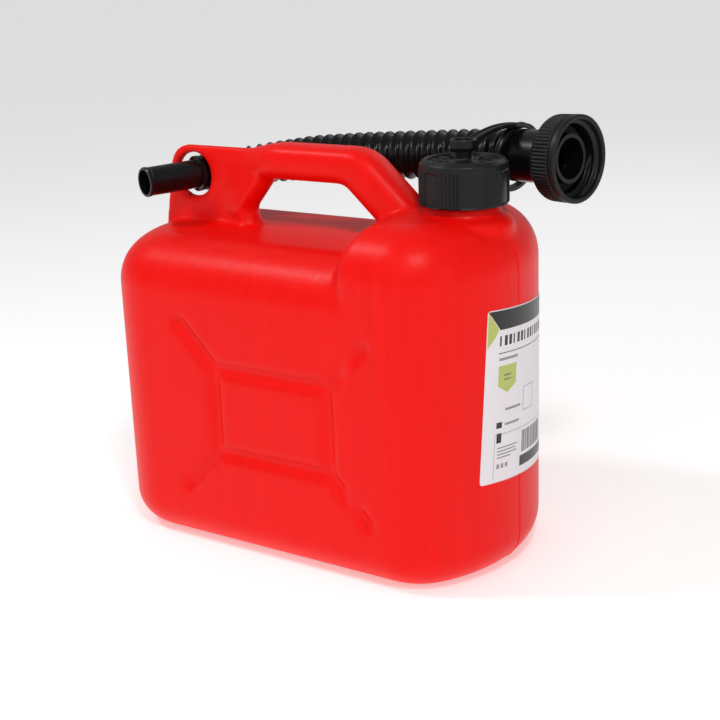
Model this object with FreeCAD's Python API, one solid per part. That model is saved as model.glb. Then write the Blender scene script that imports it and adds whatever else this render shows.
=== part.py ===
import FreeCAD, Part
import math
import os

# Five litre blow-moulded fuel can with a child-resistant screw cap and a
# flexible pouring spout stowed behind the carrying handle.
# Frame: origin at the centre of the base, +X along the can towards the neck,
# -Y out of the front face, +Z up.  Millimetres.

# ---- tank ----
TANK_LENGTH = 265.0        # over the two end faces, along X
TANK_DEPTH = 140.0         # over the front and back faces, along Y
BLOCK_HEIGHT = 187.0       # low part of the tank, under the handle
TOWER_RISE = 19.0          # the part under the neck stands this much higher
TANK_WALL = 2.0
CROWN_RADIUS = 95.0        # end faces bulge with this radius in plan
CORNER_RADIUS = 40.0       # vertical corners between crown and flat faces
TOP_ROUND = 30.0           # shoulders
BASE_ROUND = 22.0          # edge round the base
TOWER_REACH = 92.5         # from the right end back to the tower's left wall, at mid depth
TOWER_BOW = 17.0           # how far that wall falls back towards the front and back faces
TOWER_CORNER = 36.0

# ---- stiffening grooves in the front and back faces ----
GROOVE_CENTRE_X = 8.0
GROOVE_CENTRE_Z = 90.0
GROOVE_FRAME_LENGTH = 81.0
GROOVE_FRAME_HEIGHT = 52.0
GROOVE_SPOKE = 25.0        # each diagonal groove's run along X and along Z
GROOVE_RADIUS = 6.0        # round tool that forms the groove
GROOVE_DEPTH = 2.2

# ---- handle and the flat web with the spout loop ----
HANDLE_RISE = 51.6         # top of the handle over the low block
GRIP_HEIGHT = 21.6
GRIP_WIDTH = 25.0
GRIP_ROUND = 9.0
GRIP_FROM_END = 104.5      # left end face to the full-width grip
GRIP_FALL = 0.90           # fall of the right leg, height per length
LEG_HEIGHT_GAIN = 8.0      # the leg is this much deeper than the grip
WEB_THICKNESS = 6.0
WEB_RISE = 46.8
WEB_TOP_FROM_END = 20.5    # left end face to the web's top edge
WEB_FOOT_FROM_END = 11.0   # and to its foot on the shoulder of the tank
WEB_CORNER = 15.0
WEB_FROM_END = 68.5        # the grip has thinned down to the web here
GAP_FROM_END = 81.5        # lower left corner of the finger gap
LOOP_FROM_END = 36.7
LOOP_RISE = 28.6
LOOP_RADIUS = 13.6

# ---- neck and thread (shared by cap and spout nut) ----
NECK_FROM_END = 34.0
NECK_COLLAR_RADIUS = 20.3
NECK_COLLAR = 4.6          # collar's height over the tower
NECK_RADIUS = 18.8
NECK_BORE = 16.2
NECK_HEIGHT = 20.0
THREAD_PITCH = 5.0
THREAD_DEPTH = 1.8
THREAD_ROOT_WIDTH = 2.4
THREAD_CREST_WIDTH = 1.1
THREAD_START = 9.0         # first turn's height over the tower
NECK_THREAD_TURNS = 1.25
THREAD_CLEARANCE = 0.4     # crest of one thread to root of the other

# ---- cap ----
CAP_GASKET = 1.6
CAP_SIDE_WALL = 1.9        # inner cap, outside the thread root
CAP_PLATE = 1.8
CAP_FREE_GAP = 2.4         # between inner cap and shell, taken up by pressing
CAP_LUG = 1.1
CAP_LUGS = 6
SHELL_CLEARANCE = 0.5
SHELL_WALL = 1.2
SHELL_RIB = 0.5
SHELL_LIFT = 0.6           # under the shell's skirt
SHELL_BEAD = 1.2
SHELL_RIM = 2.6            # rim stands this far above the recessed top
SHELL_BEVEL = 2.4
GRIP_GROUPS = 6
RIBS_PER_GROUP = 6
RIB_GROUP_ANGLE = 31.0
RIB_GROUP_TURN = -18.5       # the first group's middle, off the can's length
POST_RADIUS = 4.5
POST_HEIGHT = 10.4
POST_HEAD = 5.3
EYE_RADIUS = 7.25
EYE_HEIGHT = 6.4
EYE_CLEARANCE = 0.35

# ---- spout ----
NOZZLE_LEAN = 21.0         # degrees, in plan, off square to the web
NOZZLE_CLIMB = 0.03        # rise per length
NOZZLE_REACH = 36.0        # from the web's middle to the nozzle's end
NOZZLE_LENGTH = 48.0
BEND_BEHIND = 36.0         # from the web's middle back to the corner of the bend
CAP_TO_SPOUT = 8.4         # from the cap's ribs to the bellows at the knee
SPOUT_RISE_AT = (-30.0, -9.0, 37.0)   # from mid length, from the knee's line, over the block
SPOUT_KNEE_AT = (-8.5, 0.0, 44.4)     # from the neck's axis, likewise
SPOUT_END_AT = (52.3, -11.3, 45.8)
BEND_RADIUS = 45.0
RISE_RADIUS = 200.0
KNEE_RADIUS = 150.0
NOZZLE_RADIUS = 8.9
NOZZLE_BORE = 7.6
NOZZLE_BEAD = 0.35
NOZZLE_FLANGE_RADIUS = 11.1
NOZZLE_FLANGES_AT = (1.0, 6.6)   # from the web's middle, away from the nozzle's end
BELLOWS_PITCH = 7.2
BELLOWS_TIP_RADIUS = 11.6
BELLOWS_RADIUS = 14.45
BELLOWS_TAPER = 0.52       # share of the bellows over which it widens
BELLOWS_DEPTH = 2.8
BELLOWS_WALL = 1.3
CUFF_LENGTH = 48.0
CUFF_RADIUS = 14.95
CUFF_BORE = 11.5
CUFF_FLANGE_RADIUS = 18.8
CUFF_FLANGE = 2.4
CUFF_NOSE = 7.5            # beyond the flange, inside the nut

# ---- spout nut ----
NUT_RADIUS = 24.5
NUT_LENGTH = 19.0
NUT_BACK = 2.6
NUT_ROUND = 2.6
NUT_RIBS = 72
NUT_RIB = 0.45
NUT_CLEARANCE = 0.35
SPOUT_GASKET = 2.0

# ---- tether between cap and spout ----
RING_BORE = 17.2
RING_RADIUS = 20.0
RING_WIDTH = 4.0
RING_FROM_MOUTH = 45.0
RING_DROP = 1.2            # the ring hangs this far below the cuff's axis
RING_LEAN = 12.0           # degrees, its top towards the mouth
STRAP_WIDTH = 7.0
STRAP_THICKNESS = 2.4
STRAP_LIFT = 2.6

# ---- label on the right end face ----
LABEL_HALF_WIDTH = 40.0
LABEL_BOTTOM = 62.0
LABEL_HEIGHT = 98.0
LABEL_THICKNESS = 0.25

# ---- sizes that follow from the others ----
HALF_LENGTH = TANK_LENGTH / 2
HALF_DEPTH = TANK_DEPTH / 2
TOWER_WALL_X = HALF_LENGTH - TOWER_REACH
TOWER_HEIGHT = BLOCK_HEIGHT + TOWER_RISE
HANDLE_TOP = BLOCK_HEIGHT + HANDLE_RISE
GRIP_LEFT_X = GRIP_FROM_END - HALF_LENGTH
GRIP_BEND_X = TOWER_WALL_X
WEB_TOP = BLOCK_HEIGHT + WEB_RISE
WEB_LEFT_X = WEB_TOP_FROM_END - HALF_LENGTH
WEB_FOOT_X = WEB_FOOT_FROM_END - HALF_LENGTH
WEB_START_X = WEB_FROM_END - HALF_LENGTH
GAP_FOOT_X = GAP_FROM_END - HALF_LENGTH
LOOP_X = LOOP_FROM_END - HALF_LENGTH
LOOP_Z = BLOCK_HEIGHT + LOOP_RISE
NECK_X = HALF_LENGTH - NECK_FROM_END
NECK_COLLAR_TOP = TOWER_HEIGHT + NECK_COLLAR
NECK_TOP = TOWER_HEIGHT + NECK_HEIGHT
THREAD_START_Z = TOWER_HEIGHT + THREAD_START
THREAD_CREST_RADIUS = NECK_RADIUS + THREAD_DEPTH
CAP_THREAD_ROOT = THREAD_CREST_RADIUS + THREAD_CLEARANCE
CAP_THREAD_CREST = NECK_RADIUS + THREAD_CLEARANCE
CAP_RADIUS = CAP_THREAD_ROOT + CAP_SIDE_WALL
CAP_TOP = NECK_TOP + CAP_GASKET + CAP_PLATE
SHELL_BOTTOM = NECK_COLLAR_TOP + SHELL_LIFT
SHELL_BORE = CAP_RADIUS + SHELL_CLEARANCE
SHELL_RADIUS = SHELL_BORE + SHELL_WALL
SHELL_FLOOR = CAP_TOP + CAP_FREE_GAP
SHELL_TOP = SHELL_FLOOR + CAP_PLATE
NUT_BORE = CAP_THREAD_ROOT + 0.6


def vector(x, y, z):
    return FreeCAD.Vector(x, y, z)


def polygon(points):
    """Closed straight-sided wire through 3-D points."""
    return Part.makePolygon([vector(*p) for p in points + points[:1]])


def prism(points, direction):
    """Solid swept straight from a closed flat polygon."""
    return Part.Face(polygon(points)).extrude(vector(*direction))


def revolve(profile, axis_x=0.0):
    """Solid turned about a vertical axis from (radius, height) corners."""
    face = Part.Face(polygon([(axis_x + r, 0.0, z) for r, z in profile]))
    return face.revolve(vector(axis_x, 0, 0), vector(0, 0, 1), 360)


def tube(outer, inner, bottom, top, axis_x=0.0):
    """Plain ring standing on a vertical axis."""
    return revolve([(inner, bottom), (outer, bottom), (outer, top), (inner, top)], axis_x)


def placed(shape, point, direction):
    """Turn a shape's own +Z to a direction and move its origin to a point."""
    axis = vector(*direction)
    side = vector(0, 0, 1).cross(axis)
    up = axis.cross(side)
    turn = FreeCAD.Rotation(up, side.negative(), axis, "ZXY")
    moved = shape.copy()
    moved.Placement = FreeCAD.Placement(vector(*point), turn)
    return moved


def write(name, shape):
    """Write one sub-part, joined into a single clean solid."""
    tidy = shape.removeSplitter()
    print(name, "solids", len(tidy.Solids), "valid", tidy.isValid(), "volume", round(tidy.Volume))
    tidy.exportStep("parts/" + name + ".step")


# ---- tank: HDPE, blow moulded in one piece with handle, web and neck ----

def crown_centre():
    """Plan position of the crown's centre on the right-hand end."""
    return HALF_LENGTH - CROWN_RADIUS


def corner_centre():
    """Plan position of the corner arc that is tangent to crown and flat face."""
    y = HALF_DEPTH - CORNER_RADIUS
    x = crown_centre() + math.sqrt((CROWN_RADIUS - CORNER_RADIUS) ** 2 - y ** 2)
    return x, y


def end_arcs(inset, side, z):
    """Three tangent arcs round one end, front to back; side is +1 right, -1 left."""
    cx, cy = corner_centre()
    swing = math.atan2(cy, cx - crown_centre())
    corner = CORNER_RADIUS - inset
    crown = CROWN_RADIUS - inset

    def at(centre_x, centre_y, radius, angle):
        x = centre_x + radius * math.cos(angle)
        return vector(side * x, centre_y + radius * math.sin(angle), z)

    front = [at(cx, -cy, corner, a) for a in (-math.pi / 2, -(math.pi / 2 + swing) / 2, -swing)]
    middle = [at(crown_centre(), 0, crown, a) for a in (-swing, 0, swing)]
    back = [at(cx, cy, corner, a) for a in (swing, (math.pi / 2 + swing) / 2, math.pi / 2)]
    return [Part.Arc(*points).toShape() for points in (front, middle, back)]


def round_rims(block, bottom_z, top_z, base_round, top_round):
    """Round the edges that lie in a block's bottom plane, then those in its top plane."""
    low = [e for e in block.Edges if e.BoundBox.ZMax < bottom_z + 0.01]
    block = block.makeFillet(base_round, low)
    high = [e for e in block.Edges if e.BoundBox.ZMin > top_z - 0.01]
    return block.makeFillet(top_round, high)


def low_block(inset):
    """Full-length part of the tank."""
    right = end_arcs(inset, 1, inset)
    left = end_arcs(inset, -1, inset)
    cx = corner_centre()[0]
    y = HALF_DEPTH - inset
    back = Part.makeLine(vector(cx, y, inset), vector(-cx, y, inset))
    front = Part.makeLine(vector(-cx, -y, inset), vector(cx, -y, inset))
    wire = Part.Wire(Part.__sortEdges__(right + [back] + left + [front]))
    block = Part.Face(wire).extrude(vector(0, 0, BLOCK_HEIGHT - 2 * inset))
    return round_rims(block, inset, BLOCK_HEIGHT - inset, BASE_ROUND - inset, TOP_ROUND - inset)


def tower(inset):
    """Raised part of the tank at the neck end; its left wall bows out in plan."""
    right = end_arcs(inset, 1, inset)
    cx = corner_centre()[0]
    y = HALF_DEPTH - inset
    bow_radius = (HALF_DEPTH ** 2 + TOWER_BOW ** 2) / (2 * TOWER_BOW)
    radius = bow_radius - inset
    corner_x = TOWER_WALL_X + bow_radius - math.sqrt(radius ** 2 - y ** 2)
    bow = Part.Arc(vector(corner_x, y, inset), vector(TOWER_WALL_X + inset, 0, inset), vector(corner_x, -y, inset))
    back = Part.makeLine(vector(cx, y, inset), vector(corner_x, y, inset))
    front = Part.makeLine(vector(corner_x, -y, inset), vector(cx, -y, inset))
    wire = Part.Wire(Part.__sortEdges__(right + [back, bow.toShape(), front]))
    height = TOWER_HEIGHT - 2 * inset
    block = Part.Face(wire).extrude(vector(0, 0, height))
    upright = [e for e in block.Edges if e.BoundBox.ZLength > height - 0.01
               and abs(e.BoundBox.XMin - corner_x) < 0.01]
    block = block.makeFillet(TOWER_CORNER - inset, upright)
    return round_rims(block, inset, inset + height, BASE_ROUND - inset, TOP_ROUND - inset)


def groove_tool(radius):
    """Frame of round bars with four diagonal spokes, for both faces."""
    left = GROOVE_CENTRE_X - GROOVE_FRAME_LENGTH / 2
    right = GROOVE_CENTRE_X + GROOVE_FRAME_LENGTH / 2
    low = GROOVE_CENTRE_Z - GROOVE_FRAME_HEIGHT / 2
    high = GROOVE_CENTRE_Z + GROOVE_FRAME_HEIGHT / 2
    corners = [(left, low), (right, low), (right, high), (left, high)]
    runs = [(corners[i], corners[(i + 1) % 4]) for i in range(4)]
    for x, z in corners:
        out_x = math.copysign(GROOVE_SPOKE, x - GROOVE_CENTRE_X)
        out_z = math.copysign(GROOVE_SPOKE, z - GROOVE_CENTRE_Z)
        runs.append(((x, z), (x + out_x, z + out_z)))
    bars = []
    for side in (-1, 1):
        y = side * (HALF_DEPTH + GROOVE_RADIUS - GROOVE_DEPTH)
        for start, end in runs:
            a = vector(start[0], y, start[1])
            b = vector(end[0], y, end[1])
            bars.append(Part.makeCylinder(radius, (b - a).Length, a, b - a))
            bars.append(Part.makeSphere(radius, b))
    return bars[0].fuse(bars[1:])


def fall_x(start_x, start_z, z):
    """Where a line that falls with the handle's leg reaches a height."""
    return start_x + (start_z - z) / GRIP_FALL


def grip_band(inset):
    """Handle: level grip and the leg that falls into the tower."""
    top = HANDLE_TOP - inset
    under = HANDLE_TOP - GRIP_HEIGHT + inset
    slope = math.sqrt(1 + GRIP_FALL ** 2)
    top_turn = GRIP_BEND_X - inset * (slope - 1) / GRIP_FALL
    under_turn = GRIP_BEND_X - (LEG_HEIGHT_GAIN + GRIP_HEIGHT) * slope / GRIP_FALL
    under_turn += GRIP_HEIGHT / GRIP_FALL + inset * (slope - 1) / GRIP_FALL
    foot = BLOCK_HEIGHT - TANK_WALL * 1.5
    outline = [
        (GRIP_LEFT_X + inset, 0, under), (GRIP_LEFT_X + inset, 0, top), (top_turn, 0, top),
        (fall_x(top_turn, top, foot + 6), 0, foot + 6), (fall_x(under_turn, under, foot), 0, foot),
        (under_turn, 0, under)]
    width = GRIP_WIDTH - 2 * inset
    face = Part.Face(polygon(outline))
    face.translate(vector(0, -width / 2, 0))
    band = face.extrude(vector(0, width, 0))
    turn_edges = [e for e in band.Edges if e.BoundBox.YLength > width - 0.01
                  and (abs(e.BoundBox.XMin - top_turn) < 0.01 or abs(e.BoundBox.XMin - under_turn) < 0.01)]
    band = band.makeFillet(GRIP_ROUND, turn_edges)
    long_edges = [e for e in band.Edges if e.BoundBox.YLength < 0.01
                  and e.BoundBox.XMax > GRIP_LEFT_X + 1 and e.BoundBox.ZMax > foot + 6.01]
    return band.makeFillet(GRIP_ROUND - inset, long_edges)


def web():
    """Flat pinched web left of the grip, with the taper that joins them."""
    foot = BLOCK_HEIGHT - TOP_ROUND
    under = HANDLE_TOP - GRIP_HEIGHT
    outline = [
        (GRIP_LEFT_X, 0, foot), (GRIP_LEFT_X, 0, BLOCK_HEIGHT), (GAP_FOOT_X + 5, 0, BLOCK_HEIGHT),
        (GAP_FOOT_X, 0, BLOCK_HEIGHT + 7), (GAP_FOOT_X + 16, 0, under), (GRIP_LEFT_X, 0, under),
        (GRIP_LEFT_X, 0, HANDLE_TOP), (GRIP_LEFT_X - 8, 0, HANDLE_TOP), (WEB_START_X, 0, WEB_TOP),
        (WEB_LEFT_X, 0, WEB_TOP), (WEB_FOOT_X, 0, BLOCK_HEIGHT), (WEB_FOOT_X, 0, foot)]
    face = Part.Face(polygon(outline))
    face.translate(vector(0, -GRIP_WIDTH / 2, 0))
    side_view = face.extrude(vector(0, GRIP_WIDTH, 0))
    corner = [e for e in side_view.Edges if e.BoundBox.YLength > 1
              and abs(e.BoundBox.XMin - WEB_LEFT_X) < 0.01]
    side_view = side_view.makeFillet(WEB_CORNER, corner)
    thin = WEB_THICKNESS / 2
    wide = GRIP_WIDTH / 2 - GRIP_ROUND * 0.3
    plan = [(WEB_FOOT_X - 1, thin), (WEB_START_X, thin), (GRIP_LEFT_X, wide)]
    around = [(x, y, foot) for x, y in plan] + [(x, -y, foot) for x, y in reversed(plan)]
    plate = side_view.common(prism(around, (0, 0, HANDLE_TOP - foot)))
    hole = Part.makeCylinder(LOOP_RADIUS, GRIP_WIDTH, vector(LOOP_X, -GRIP_WIDTH / 2, LOOP_Z), vector(0, 1, 0))
    return plate.cut(hole)


def thread_ridge(root, crest, start_z, turns, start_turn):
    """Helical ridge; root and crest are its radii, whichever way it points."""
    grip = math.copysign(0.3, root - crest)
    half_root = THREAD_ROOT_WIDTH / 2
    half_crest = THREAD_CREST_WIDTH / 2
    section = polygon([
        (root + grip, 0, -half_root), (root + grip, 0, half_root),
        (crest, 0, half_crest), (crest, 0, -half_crest)])
    helix = Part.makeHelix(THREAD_PITCH, THREAD_PITCH * turns, root)
    ridge = Part.Wire(helix.Edges).makePipeShell([section], True, True)
    ridge.rotate(vector(0, 0, 0), vector(0, 0, 1), 360 * start_turn)
    ridge.translate(vector(0, 0, start_z))
    return ridge


def tank():
    base_z = TOWER_HEIGHT - TOP_ROUND
    neck = revolve([
        (0, base_z), (NECK_COLLAR_RADIUS + 6, base_z), (NECK_COLLAR_RADIUS + 5, TOWER_HEIGHT - 4.0),
        (NECK_COLLAR_RADIUS, TOWER_HEIGHT + 0.6), (NECK_COLLAR_RADIUS, NECK_COLLAR_TOP),
        (NECK_RADIUS, NECK_COLLAR_TOP + 0.8), (NECK_RADIUS, NECK_TOP), (0, NECK_TOP)], NECK_X)
    outside = low_block(0).fuse([tower(0), grip_band(0), web(), neck]).cut(groove_tool(GROOVE_RADIUS))
    inside = low_block(TANK_WALL).fuse([tower(TANK_WALL), grip_band(TANK_WALL)])
    inside = inside.cut(groove_tool(GROOVE_RADIUS + TANK_WALL))
    bore = Part.makeCylinder(NECK_BORE, NECK_TOP - base_z + 1, vector(NECK_X, 0, base_z))
    ridge = thread_ridge(NECK_RADIUS, THREAD_CREST_RADIUS, THREAD_START_Z, NECK_THREAD_TURNS, 0)
    ridge.translate(vector(NECK_X, 0, 0))
    return outside.cut(inside).cut(bore).fuse(ridge)


def label():
    """Paper-thin sticker that follows the crown of the right end face."""
    centre = crown_centre()
    swing = math.asin(LABEL_HALF_WIDTH / CROWN_RADIUS)

    def arc(radius, z):
        points = [vector(centre + radius * math.cos(a), radius * math.sin(a), z) for a in (-swing, 0, swing)]
        return Part.Arc(*points).toShape()

    inner = arc(CROWN_RADIUS, LABEL_BOTTOM)
    outer = arc(CROWN_RADIUS + LABEL_THICKNESS, LABEL_BOTTOM)
    sides = [Part.makeLine(inner.Vertexes[i].Point, outer.Vertexes[i].Point) for i in (0, 1)]
    wire = Part.Wire(Part.__sortEdges__([inner, outer] + sides))
    return Part.Face(wire).extrude(vector(0, 0, LABEL_HEIGHT))


# ---- cap: threaded inner cap, gasket, and the loose shell pressed down to turn it ----

def ring_of_lugs(count, offset, inner, outer, bottom, top, width):
    """Evenly spaced radial blocks round the origin."""
    lugs = []
    for index in range(count):
        lug = Part.makeBox(outer - inner, width, top - bottom, vector(inner, -width / 2, bottom))
        lug.rotate(vector(0, 0, 0), vector(0, 0, 1), offset + 360.0 * index / count)
        lugs.append(lug)
    return lugs


def cap_inner():
    bottom = SHELL_BOTTOM + SHELL_BEAD + 0.1
    body = revolve([
        (CAP_THREAD_ROOT, bottom), (CAP_RADIUS, bottom), (CAP_RADIUS, CAP_TOP), (0, CAP_TOP),
        (0, CAP_TOP - CAP_PLATE), (CAP_THREAD_ROOT, CAP_TOP - CAP_PLATE)])
    ridge = thread_ridge(CAP_THREAD_ROOT, CAP_THREAD_CREST, THREAD_START_Z - THREAD_PITCH * 0.2, 1.2, 0.3)
    lugs = ring_of_lugs(CAP_LUGS, 0, 11, 19, CAP_TOP - 0.2, CAP_TOP + CAP_LUG, 5)
    cap = body.fuse([ridge] + lugs)
    cap.translate(vector(NECK_X, 0, 0))
    return cap


def cap_gasket():
    return tube(CAP_THREAD_CREST - 0.3, NECK_BORE - 3, NECK_TOP, NECK_TOP + CAP_GASKET, NECK_X)


def gripped_outline():
    """Plan outline of the shell: six ribbed groups between six smooth flats."""
    outline = []
    valley = SHELL_RADIUS
    crest = SHELL_RADIUS + SHELL_RIB
    for group in range(GRIP_GROUPS):
        middle = RIB_GROUP_TURN + 360.0 * group / GRIP_GROUPS
        for rib in range(RIBS_PER_GROUP):
            centre = middle + RIB_GROUP_ANGLE * ((rib + 0.5) / RIBS_PER_GROUP - 0.5)
            for shift, radius in ((-2.4, valley), (-1.0, crest), (1.0, crest), (2.4, valley)):
                angle = math.radians(centre + shift)
                outline.append((radius * math.cos(angle), radius * math.sin(angle)))
    return outline


def cap_shell():
    rim_top = SHELL_TOP + SHELL_RIM
    crest = SHELL_RADIUS + SHELL_RIB
    skirt = prism([(x, y, SHELL_BOTTOM) for x, y in gripped_outline()], (0, 0, rim_top - 6.0 - SHELL_BOTTOM))
    crown = revolve([
        (0, rim_top - 6.5), (crest, rim_top - 6.5), (crest, rim_top - SHELL_BEVEL),
        (crest - SHELL_BEVEL, rim_top), (0, rim_top)])
    recess = Part.makeCylinder(crest - SHELL_BEVEL - 1.6, SHELL_RIM + 1, vector(0, 0, SHELL_TOP))
    bead_top = SHELL_BOTTOM + SHELL_BEAD
    hollow = Part.makeCylinder(SHELL_BORE, SHELL_FLOOR - bead_top, vector(0, 0, bead_top))
    mouth = Part.makeCylinder(CAP_RADIUS - 0.6, SHELL_BEAD + 2, vector(0, 0, SHELL_BOTTOM - 1))
    post = revolve([
        (0, SHELL_TOP - 0.2), (POST_RADIUS, SHELL_TOP - 0.2), (POST_RADIUS, SHELL_TOP + POST_HEIGHT),
        (POST_HEAD, SHELL_TOP + POST_HEIGHT), (POST_HEAD - 1, SHELL_TOP + POST_HEIGHT + 1.3),
        (0, SHELL_TOP + POST_HEIGHT + 1.3)])
    lugs = ring_of_lugs(CAP_LUGS, 30, 11, 19, SHELL_FLOOR - CAP_LUG, SHELL_FLOOR + 0.2, 5)
    ribs = ring_of_lugs(CAP_LUGS, 0, POST_RADIUS - 0.5, 14, SHELL_TOP - 0.2, SHELL_TOP + 1.5, 1.6)
    shell = skirt.fuse([crown]).cut(recess).cut(hollow).cut(mouth).fuse([post] + lugs + ribs)
    shell.translate(vector(NECK_X, 0, 0))
    return shell


# ---- spout: nozzle, bellows, cuff, gasket and nut, along one bent centreline ----

def centreline(corners, radii):
    """Straight runs joined by tangent arcs: a list of (kind, length, data) pieces."""
    pieces = []
    start = corners[0]
    for index, radius in enumerate(radii):
        before = (corners[index + 1] - corners[index]).normalize()
        after = (corners[index + 2] - corners[index + 1]).normalize()
        turn = before.getAngle(after)
        reach = radius * math.tan(turn / 2)
        entry = corners[index + 1] - before * reach
        inward = (after - before * before.dot(after)).normalize()
        pieces.append(("line", (entry - start).Length, (start, before)))
        pieces.append(("arc", radius * turn, (entry, before, inward, radius)))
        start = corners[index + 1] + after * reach
    last = (corners[-1] - start).normalize()
    pieces.append(("line", (corners[-1] - start).Length, (start, last)))
    return pieces


def spout_corners():
    """Nozzle's end, bend behind the web, gentle rise, knee past the cap, and mouth."""
    lean = math.radians(NOZZLE_LEAN)
    loop = vector(LOOP_X, 0, LOOP_Z)
    nozzle = vector(math.sin(lean), math.cos(lean), NOZZLE_CLIMB)
    line_y = SHELL_RADIUS + SHELL_RIB + BELLOWS_RADIUS + CAP_TO_SPOUT
    corners = [loop - nozzle * NOZZLE_REACH, loop + nozzle * BEND_BEHIND]
    for from_x, (x, y, z) in ((0, SPOUT_RISE_AT), (NECK_X, SPOUT_KNEE_AT), (NECK_X, SPOUT_END_AT)):
        corners.append(vector(from_x + x, line_y + y, BLOCK_HEIGHT + z))
    return corners


SPOUT_PATH = centreline(spout_corners(), [BEND_RADIUS, RISE_RADIUS, KNEE_RADIUS])
SPOUT_LENGTH = sum(piece[1] for piece in SPOUT_PATH)


def along(distance):
    """Point and direction on the spout's centreline at a distance from the nozzle's end."""
    for kind, length, data in SPOUT_PATH[:-1]:
        if distance < length:
            break
        distance -= length
    else:
        kind, length, data = SPOUT_PATH[-1]
    if kind == "line":
        return data[0] + data[1] * distance, data[1]
    entry, before, inward, radius = data
    angle = distance / radius
    point = entry + before * (radius * math.sin(angle)) + inward * (radius * (1 - math.cos(angle)))
    return point, before * math.cos(angle) + inward * math.sin(angle)


def stack_of_circles(stations):
    """Solid through circles given as (distance, radius) along the centreline."""
    circles = []
    for distance, radius in stations:
        point, direction = along(distance)
        circle = Part.Wire(Part.makeCircle(radius))
        circles.append(placed(circle, point, direction))
    return Part.makeLoft(circles, True, True)


def loop_distance():
    """Distance along the nozzle at which it crosses the middle of the web."""
    point, direction = along(0)
    return -point.y / direction.y


def spout_nozzle():
    middle = loop_distance()
    bead = NOZZLE_RADIUS + NOZZLE_BEAD
    stations = [(0, bead - 0.4), (0.5, bead), (2.2, bead), (3.2, NOZZLE_RADIUS)]
    for offset in NOZZLE_FLANGES_AT:
        near = middle + offset
        stations += [
            (near - 1.6, NOZZLE_RADIUS), (near - 1.2, NOZZLE_FLANGE_RADIUS),
            (near + 1.2, NOZZLE_FLANGE_RADIUS), (near + 1.6, NOZZLE_RADIUS + 0.6)]
    stations.append((NOZZLE_LENGTH, NOZZLE_RADIUS + 0.6))
    body = stack_of_circles(stations)
    ends = (-1, NOZZLE_LENGTH - 3, NOZZLE_LENGTH + 1)
    return body.cut(stack_of_circles([(distance, NOZZLE_BORE) for distance in ends]))


def bellows_stations(shrink):
    """Ridge and valley circles, widening from the nozzle and then even."""
    length = SPOUT_LENGTH - CUFF_LENGTH - NOZZLE_LENGTH
    count = round(length / BELLOWS_PITCH)
    pitch = length / count
    stations = [(NOZZLE_LENGTH, BELLOWS_TIP_RADIUS - BELLOWS_DEPTH - shrink)]
    for index in range(count):
        share = min(1.0, (index + 0.5) / count / BELLOWS_TAPER)
        ridge = BELLOWS_TIP_RADIUS + (BELLOWS_RADIUS - BELLOWS_TIP_RADIUS) * share
        start = NOZZLE_LENGTH + pitch * index
        stations.append((start + pitch * 0.36, ridge - shrink))
        stations.append((start + pitch * 0.64, ridge - shrink))
        stations.append((start + pitch, ridge - BELLOWS_DEPTH - shrink))
    return stations


def spout_bellows():
    return stack_of_circles(bellows_stations(0)).cut(stack_of_circles(bellows_stations(BELLOWS_WALL)))


def nut_back():
    """Distance along the centreline at which the nut starts."""
    return SPOUT_LENGTH - NUT_LENGTH


def spout_cuff():
    start = SPOUT_LENGTH - CUFF_LENGTH
    flange = nut_back() + NUT_BACK + NUT_CLEARANCE
    end = flange + CUFF_FLANGE
    body = stack_of_circles([
        (start, CUFF_RADIUS - 2.6), (start + 1.2, CUFF_RADIUS - 0.9), (start + 3.2, CUFF_RADIUS),
        (flange, CUFF_RADIUS), (flange + 0.01, CUFF_FLANGE_RADIUS), (end, CUFF_FLANGE_RADIUS),
        (end + 0.01, CUFF_RADIUS - 1.2), (end + CUFF_NOSE, CUFF_RADIUS - 1.2)])
    bore = stack_of_circles([
        (start - 1, CUFF_BORE - 1), (end - 4, CUFF_BORE - 1), (end - 3.99, CUFF_BORE), (SPOUT_LENGTH, CUFF_BORE)])
    return body.cut(bore)


def spout_gasket():
    point, direction = along(nut_back() + NUT_BACK + NUT_CLEARANCE + CUFF_FLANGE + 0.02)
    ring = tube(CUFF_FLANGE_RADIUS - 0.3, CUFF_RADIUS - 0.9, 0, SPOUT_GASKET)
    return placed(ring, point, direction)


def spout_nut():
    crest = NUT_RADIUS
    outline = []
    for index in range(NUT_RIBS):
        for shift, radius in ((0.1, crest - NUT_RIB), (0.3, crest), (0.7, crest), (0.9, crest - NUT_RIB)):
            angle = 2 * math.pi * (index + shift) / NUT_RIBS
            outline.append((radius * math.cos(angle), radius * math.sin(angle), NUT_ROUND))
    front_band = NUT_LENGTH - 4.2
    ribbed = prism(outline, (0, 0, front_band - NUT_ROUND))
    body = revolve([
        (0, 0), (crest - NUT_ROUND, 0), (crest - NUT_RIB, NUT_ROUND), (crest - NUT_RIB, front_band),
        (crest, front_band), (crest, NUT_LENGTH), (0, NUT_LENGTH)])
    thread = thread_ridge(NUT_BORE, CAP_THREAD_CREST, NUT_BACK + CUFF_FLANGE + SPOUT_GASKET + 3.6, 1.1, 0.6)
    hollow = Part.makeCylinder(NUT_BORE, NUT_LENGTH, vector(0, 0, NUT_BACK))
    hole = Part.makeCylinder(CUFF_RADIUS + NUT_CLEARANCE, NUT_LENGTH, vector(0, 0, -1))
    point, direction = along(nut_back())
    return placed(body.fuse(ribbed).cut(hollow).cut(hole).fuse(thread), point, direction)


# ---- tether: one soft moulding, an eye on the cap's post and a ring round the cuff ----

def eye_bottom():
    return SHELL_TOP + POST_HEIGHT - 4.0


def tether_eye():
    bottom = eye_bottom()
    bore = POST_RADIUS + EYE_CLEARANCE
    seat = POST_HEAD + EYE_CLEARANCE
    return revolve([
        (bore, bottom), (EYE_RADIUS, bottom), (EYE_RADIUS, bottom + EYE_HEIGHT),
        (seat, bottom + EYE_HEIGHT), (seat, bottom + 1.6), (bore, bottom + 1.6)], NECK_X)


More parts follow.
